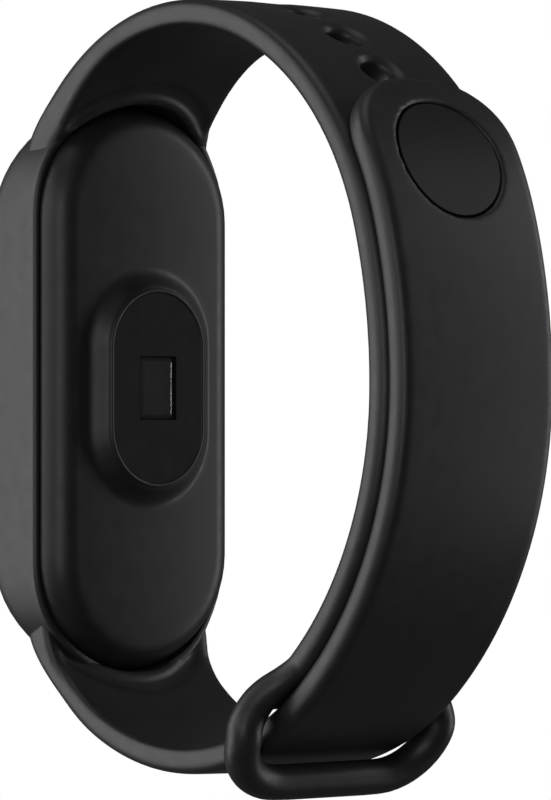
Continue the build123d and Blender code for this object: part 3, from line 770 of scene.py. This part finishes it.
def make_cradle():
    """The wall round the capsule: outer side, rear rim, lip, pocket and front rim."""
    round_steps = 6
    mouth_in, mouth_deep = POCKET_MOUTH_ROUND
    wall_in, wall_deep = WALL_FRONT_ROUND

    def rear(lift):
        return lambda y, z: SEAM_X + lift + rim_rise(z)

    def front(lift):
        return lambda y, z: CRADLE_FRONT_X + lift + bent(z)

    def wall(grow, x_at):
        rings.append(stadium_ring(WALL_HALF[0] + grow, WALL_HALF[1] + grow, x_at))

    def pocket(grow, x_at):
        rings.append(stadium_ring(POCKET[0] + grow, POCKET[1] + grow, x_at))

    rings = []
    depth_steps = 10
    for i in range(depth_steps):
        t = i / depth_steps
        low, high = front(wall_deep), rear(-RIM_ROUND)
        wall(0, lambda y, z, t=t, low=low, high=high: (1 - t) * low(y, z) + t * high(y, z))
    for i in range(round_steps + 1):
        angle = math.radians(90 * i / round_steps)
        wall(-RIM_ROUND * (1 - math.cos(angle)), rear(RIM_ROUND * math.sin(angle) - RIM_ROUND))
    pocket(0.05, rear(0.0))
    pocket(0.02, rear(-0.02))
    pocket(0.0, rear(-0.08))
    pocket(0.0, lambda y, z: SHOULDER_X + SHOULDER_SLOPE[0])
    half_length = FLANGE_HALF_LENGTH + FLANGE_CLEARANCE
    rings.append(stadium_ring(POCKET[0], half_length, lambda y, z: SHOULDER_X + SHOULDER_SLOPE[1]))
    for i in range(round_steps + 1):
        angle = math.radians(90 * i / round_steps)
        grow = mouth_in * (1 - math.cos(angle))
        x_at = front(mouth_deep - mouth_deep * math.sin(angle))
        rings.append(stadium_ring(POCKET[0] + grow, half_length + grow, x_at))
    for i in range(round_steps):
        angle = math.radians(90 * i / round_steps)
        wall(wall_in * (math.sin(angle) - 1), front(wall_deep - wall_deep * math.cos(angle)))
    cradle = ring_mesh("strap_cradle_skin", rings, closed=True)
    smooth_shading(cradle, 50)
    dress(cradle, "strap_rubber")
    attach(cradle, "strap")
    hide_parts("strap_cradle")
    return cradle


# ---- capsule housing ---------------------------------------------------------------------------
BACK_HALF = (9.38, 23.16)
FRONT_HALF = (BACK_HALF[0], FLANGE_HALF_LENGTH)
BUMP_TOP = (4.88, 8.13)
BUMP_REACH = 1.9
BUMP_SIDE_SHARE = 0.8
BUMP_SHAPE = 0.72
WINDOW_HALF = (4.5, 7.75)
THROAT_HALF = (3.7, 6.8)
BEAD = 0.17
SIDE_ROUND = 2.15
SIDE_DEPTH = 2.3
FRONT_ROUND = (0.4, 0.5)
INNER_HALF = (7.9, 22.2)
BACK_INNER_HALF = (7.3, 21.6)
END_DROP_FROM = 13.0
END_DROP = 0.0125
DOME = 0.45
DOME_BASE = 0.3


def end_drop(z):
    """The back falls away towards the capsule's two ends."""
    past = max(0.0, abs(z) - END_DROP_FROM)
    return END_DROP * past ** 2


def back_height(y, z):
    """Depth of the capsule's back away from the bump: a shallow dome."""
    dome = DOME * (1 - (y / BACK_HALF[0]) ** 2)
    return BACK_X - DOME_BASE + dome - end_drop(z)


def bump_rings():
    """The window's seat, the bead round the window and the bump's flank."""
    seat = WINDOW_X - 1.0
    rings = [
        stadium_ring(*THROAT_HALF, lambda y, z: seat),
        stadium_ring(*WINDOW_HALF, lambda y, z: seat),
    ]
    for i in range(9):
        angle = math.radians(180 - 22.5 * i * 0.9)
        out = 0.02 + BEAD * (1 + math.cos(angle))
        lift = BEAD * math.sin(angle) * 0.75 - 0.06
        rings.append(
            stadium_ring(WINDOW_HALF[0] + out, WINDOW_HALF[1] + out, lambda y, z, h=lift: WINDOW_X + h)
        )
    steps = 14
    for i in range(1, steps + 1):
        t = i / steps
        grow = BUMP_REACH * t
        height = 1 - smooth_step(t ** BUMP_SHAPE)
        rings.append(
            stadium_ring(
                BUMP_TOP[0] + grow * BUMP_SIDE_SHARE, BUMP_TOP[1] + grow,
                lambda y, z, h=height: back_height(y, z) + h * (WINDOW_X - back_height(y, z)),
            )
        )
    return rings


def back_rings():
    """The domed back from the bump's foot outward, and its rounded side."""
    low = (BUMP_TOP[0] + BUMP_REACH * BUMP_SIDE_SHARE, BUMP_TOP[1] + BUMP_REACH)
    flat = (BACK_HALF[0] - SIDE_ROUND, BACK_HALF[1] - SIDE_ROUND)
    rings = []
    flat_steps = 12
    for i in range(1, flat_steps + 1):
        t = i / flat_steps
        half_width = low[0] + (flat[0] - low[0]) * t
        half_length = low[1] + (flat[1] - low[1]) * t
        rings.append(stadium_ring(half_width, half_length, back_height))
    round_steps = 10
    for i in range(1, round_steps + 1):
        angle = math.radians(90 * i / round_steps)
        reach = SIDE_ROUND * math.sin(angle)
        drop = SIDE_DEPTH * (1 - math.cos(angle))
        rings.append(
            stadium_ring(flat[0] + reach, flat[1] + reach, lambda y, z, d=drop: back_height(y, z) - d)
        )
    return rings


def front_rings():
    """The shoulder, the front's rounded rim, the glass ledge and the inside."""
    round_in, round_deep = FRONT_ROUND
    rings = [
        stadium_ring(*BACK_HALF, lambda y, z: SEAM_X - 0.5 - end_drop(z)),
        stadium_ring(*BACK_HALF, lambda y, z: SHOULDER_X + 0.04),
        stadium_ring(*FRONT_HALF, lambda y, z: SHOULDER_X),
        stadium_ring(*FRONT_HALF, lambda y, z: CAPSULE_FRONT_X + round_deep + bent(z)),
    ]
    round_steps = 6
    for i in range(1, round_steps + 1):
        angle = math.radians(90 * i / round_steps)
        inset = round_in * (1 - math.cos(angle))
        lift = round_deep - round_deep * math.sin(angle)
        rings.append(
            stadium_ring(
                FRONT_HALF[0] - inset, FRONT_HALF[1] - inset,
                lambda y, z, h=lift: CAPSULE_FRONT_X + h + bent(z),
            )
        )
    rings.append(stadium_ring(8.47, 22.87, lambda y, z: CAPSULE_FRONT_X + bent(z)))
    rings.append(stadium_ring(8.45, 22.85, lambda y, z: LEDGE_X + bent(z)))
    rings.append(stadium_ring(*INNER_HALF, lambda y, z: LEDGE_X + bent(z)))
    rings.append(stadium_ring(*INNER_HALF, lambda y, z: BACK_X - 1.3))
    rings.append(stadium_ring(*BACK_INNER_HALF, lambda y, z: BACK_X - 1.05 - end_drop(z)))
    rings.append(stadium_ring(*THROAT_HALF, lambda y, z: BACK_X - 1.0))
    return rings


def make_housing():
    """The capsule's shell: bump, domed back, rounded sides, shoulder, front rim and inside."""
    shell = ring_mesh("housing_shell", bump_rings() + back_rings() + front_rings(), closed=True)
    smooth_shading(shell, 40)
    dress(shell, "shell_plastic")
    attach(shell, "capsule")
    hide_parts("housing")
    return shell


LENS_CLEARANCE = 0.02
LENS_STEPS = ((0, 1.0), (0, 0.42), (0.05, 0.36), (0.42, 0.1), (0.5, 0.08))    # inset and depth


def make_aperture_lens():
    """The clear lens: a small block with a wide chamfer round its face."""
    low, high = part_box("aperture_lens")
    half = ((high.y - low.y) / 2 / MM - LENS_CLEARANCE, (high.z - low.z) / 2 / MM - LENS_CLEARANCE)
    rings = []
    for inset, depth in LENS_STEPS:
        y, z = half[0] - inset, half[1] - inset
        x = WINDOW_X - depth
        rings.append([(x, -y, -z), (x, y, -z), (x, y, z), (x, -y, z)])
    lens = ring_mesh("aperture_lens_block", rings)
    dress(lens, "clear_lens")
    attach(lens, "capsule")
    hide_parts("aperture_lens")


# ---- stage ---------------------------------------------------------------------------------------
CAMERA_AZIMUTH = 50.0
CAMERA_RISE = -4.0
CAMERA_REACH = 394.0
CAMERA_LENS = 149.8
AIM_RIGHT = -1.26
AIM_UP = -1.07


def area_light(name, place, target, size, power):
    light = bpy.data.lights.new(name, "AREA")
    light.shape = "RECTANGLE"
    light.size = size[0] * MM
    light.size_y = size[1] * MM
    light.energy = power
    obj = bpy.data.objects.new(name, light)
    obj.location = Vector(place) * MM
    aim = Vector(target) * MM - obj.location
    obj.rotation_euler = aim.to_track_quat("-Z", "Y").to_euler()
    bpy.context.scene.collection.objects.link(obj)


def make_lights():
    """Soft studio light: the brightest sheet stands to the left of the view."""
    area_light("key", (-330, -330, 30), (-10, 0, 0), (300, 700), 1.62)
    area_light("front", (-40, -460, 120), (0, 0, 0), (260, 300), 0.3)
    area_light("by_camera", (340, -440, 60), (0, 0, 0), (200, 420), 0.56)
    area_light("top", (40, -40, 460), (0, 0, 0), (300, 300), 0.3)
    area_light("right", (190, 430, 40), (10, 0, 0), (100, 500), 0.72)
    world = bpy.data.worlds.new("studio")
    bpy.context.scene.world = world
    world.use_nodes = True
    tree = world.node_tree
    tree.nodes.clear()
    rays = tree.nodes.new("ShaderNodeLightPath")
    seen = tree.nodes.new("ShaderNodeBackground")
    seen.inputs["Color"].default_value = (1, 1, 1, 1)
    around = tree.nodes.new("ShaderNodeBackground")
    around.inputs["Color"].default_value = (1, 1, 1, 1)
    around.inputs["Strength"].default_value = 0.07
    mix = tree.nodes.new("ShaderNodeMixShader")
    out = tree.nodes.new("ShaderNodeOutputWorld")
    tree.links.new(rays.outputs["Is Camera Ray"], mix.inputs["Fac"])
    tree.links.new(around.outputs["Background"], mix.inputs[1])
    tree.links.new(seen.outputs["Background"], mix.inputs[2])
    tree.links.new(mix.outputs["Shader"], out.inputs["Surface"])
    bpy.context.scene.view_settings.view_transform = "Standard"


def make_camera():
    data = bpy.data.cameras.new("camera")
    data.sensor_fit = "VERTICAL"
    data.sensor_height = 24.0
    data.lens = CAMERA_LENS
    data.clip_start = 0.01
    data.clip_end = 10.0
    camera = bpy.data.objects.new("camera", data)
    turn = math.radians(CAMERA_AZIMUTH)
    place = Vector((math.sin(turn) * CAMERA_REACH, -math.cos(turn) * CAMERA_REACH, CAMERA_RISE))
    target = Vector((math.cos(turn) * AIM_RIGHT, math.sin(turn) * AIM_RIGHT, AIM_UP))
    camera.location = place * MM
    camera.rotation_euler = (target - place).to_track_quat("-Z", "Y").to_euler()
    bpy.context.scene.collection.objects.link(camera)
    bpy.context.scene.camera = camera


dress_cad_nodes()
make_hole_arm()
make_pin_arm()
make_cradle()
make_housing()
make_aperture_lens()
make_lights()
make_camera()

bpy.context.view_layer.update()
